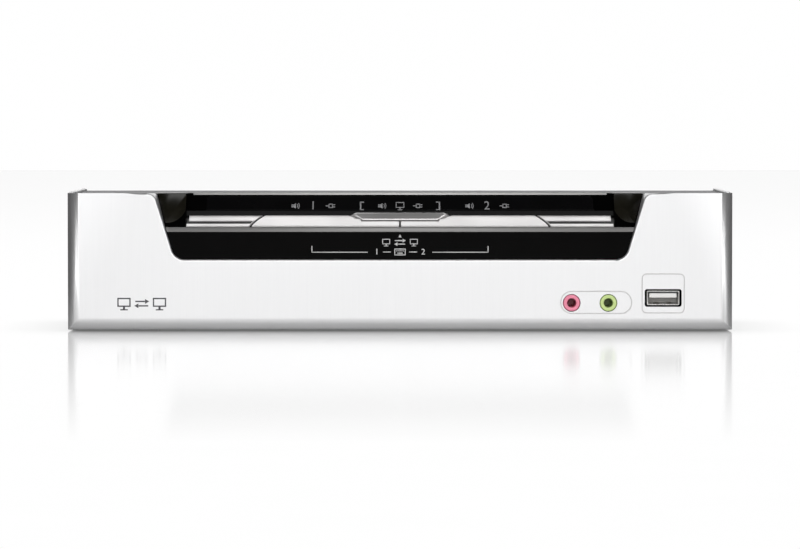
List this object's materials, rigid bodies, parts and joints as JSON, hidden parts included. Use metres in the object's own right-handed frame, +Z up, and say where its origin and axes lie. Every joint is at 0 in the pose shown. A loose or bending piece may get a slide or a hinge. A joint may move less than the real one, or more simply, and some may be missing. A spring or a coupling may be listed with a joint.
{
  "type": "kvm switch",
  "caption": "Low desktop keyboard, video and mouse switch: silver front with a notched black key deck, front audio and USB sockets, rear sockets.",
  "frame": {"origin": "middle of the footprint, at the underside of the rubber feet", "axes": "+X along the width to the user's right, +Y to the rear, +Z up; the front faces -Y"},
  "size_m": [0.27, 0.088, 0.0565],
  "materials": {
    "satin_silver_plastic": "satin silver-white paint on moulded plastic",
    "silver_key_plastic": "silver-painted key plastic, semi-gloss",
    "black_gloss_plastic": "piano black, glossy",
    "charcoal_steel": "charcoal powder coat, fine texture",
    "galvanised_steel": "bright zinc sheet",
    "rubber": "black, matt",
    "smoked_acrylic": "smoked, glossy",
    "light_guide": "clear, slightly frosted",
    "switch_plastic": "black nylon",
    "plunger_plastic": "natural nylon",
    "circuit_board": "green solder mask over glass fibre",
    "led": "milky lens",
    "ribbon": "grey PVC",
    "connector_plastic": "natural nylon",
    "brass": "nickel-washed brass",
    "zinc_screw": "zinc plated",
    "black_screw": "black oxide",
    "socket_metal": "bright tin plate",
    "white_insulator": "white nylon",
    "black_insulator": "black nylon",
    "pink_jack": "pink",
    "green_jack": "lime green",
    "chip": "black epoxy",
    "aluminium": "clear anodised",
    "capacitor": "dark sleeve",
    "ferrite": "moulded ferrite",
    "crystal_can": "bright can"
  },
  "bodies": {
    "housing": {"front_panel": "satin_silver_plastic", "left_side_panel": "satin_silver_plastic", "right_side_panel": "satin_silver_plastic", "top_cover": "charcoal_steel", "base_tray": "galvanised_steel", "rear_panel": "charcoal_steel", "rubber_feet": "rubber", "control_fascia": "black_gloss_plastic", "icon_window": "smoked_acrylic", "left_key_trim": "silver_key_plastic", "right_key_trim": "silver_key_plastic", "tact_switches": "switch_plastic", "control_board": "circuit_board", "light_guides": "light_guide", "indicator_leds": "led", "ribbon_cable": "ribbon", "ribbon_connectors": "connector_plastic", "main_board": "circuit_board", "board_standoffs": "brass", "board_screws": "zinc_screw", "control_board_screws": "zinc_screw", "fascia_screws": "zinc_screw", "base_screws": "black_screw", "rear_screws": "black_screw", "front_usb_shell": "socket_metal", "front_usb_insulator": "white_insulator", "front_usb_base": "black_insulator", "front_microphone_jack": "pink_jack", "front_speaker_jack": "green_jack", "console_hdmi_shell": "socket_metal", "port_hdmi_shells": "socket_metal", "hdmi_tongues": "black_insulator", "usb_b_shells": "socket_metal", "usb_b_insulators": "black_insulator", "keyboard_mouse_usb_shell": "socket_metal", "peripheral_usb_shell": "socket_metal", "rear_usb_tongues": "white_insulator", "rear_microphone_jacks": "pink_jack", "rear_speaker_jacks": "green_jack", "firmware_port": "black_insulator", "power_jack": "black_insulator", "power_jack_pin": "brass", "switch_chips": "chip", "heatsink": "aluminium", "electrolytic_capacitors": "capacitor", "inductors": "ferrite", "crystals": "crystal_can"},
    "port_1_key": {"port_1_button": "silver_key_plastic", "port_1_switch_plunger": "plunger_plastic"},
    "port_2_key": {"port_2_button": "silver_key_plastic", "port_2_switch_plunger": "plunger_plastic"},
    "mode_key": {"mode_button": "silver_key_plastic", "mode_switch_plunger": "plunger_plastic"}
  },
  "joints": [
    {"name": "port_1_press", "type": "slide", "parent": "housing", "child": "port_1_key", "axis": [0, 0.4067, -0.9135], "range_m": [0, 0.0006], "stiffness_N_per_m": 1500, "springref_m": -0.0003},
    {"name": "port_2_press", "type": "slide", "parent": "housing", "child": "port_2_key", "axis": [0, 0.4067, -0.9135], "range_m": [0, 0.0006], "stiffness_N_per_m": 1500, "springref_m": -0.0003},
    {"name": "mode_press", "type": "slide", "parent": "housing", "child": "mode_key", "axis": [0, 0.4067, -0.9135], "range_m": [0, 0.0006], "stiffness_N_per_m": 1500, "springref_m": -0.0003}
  ]
}
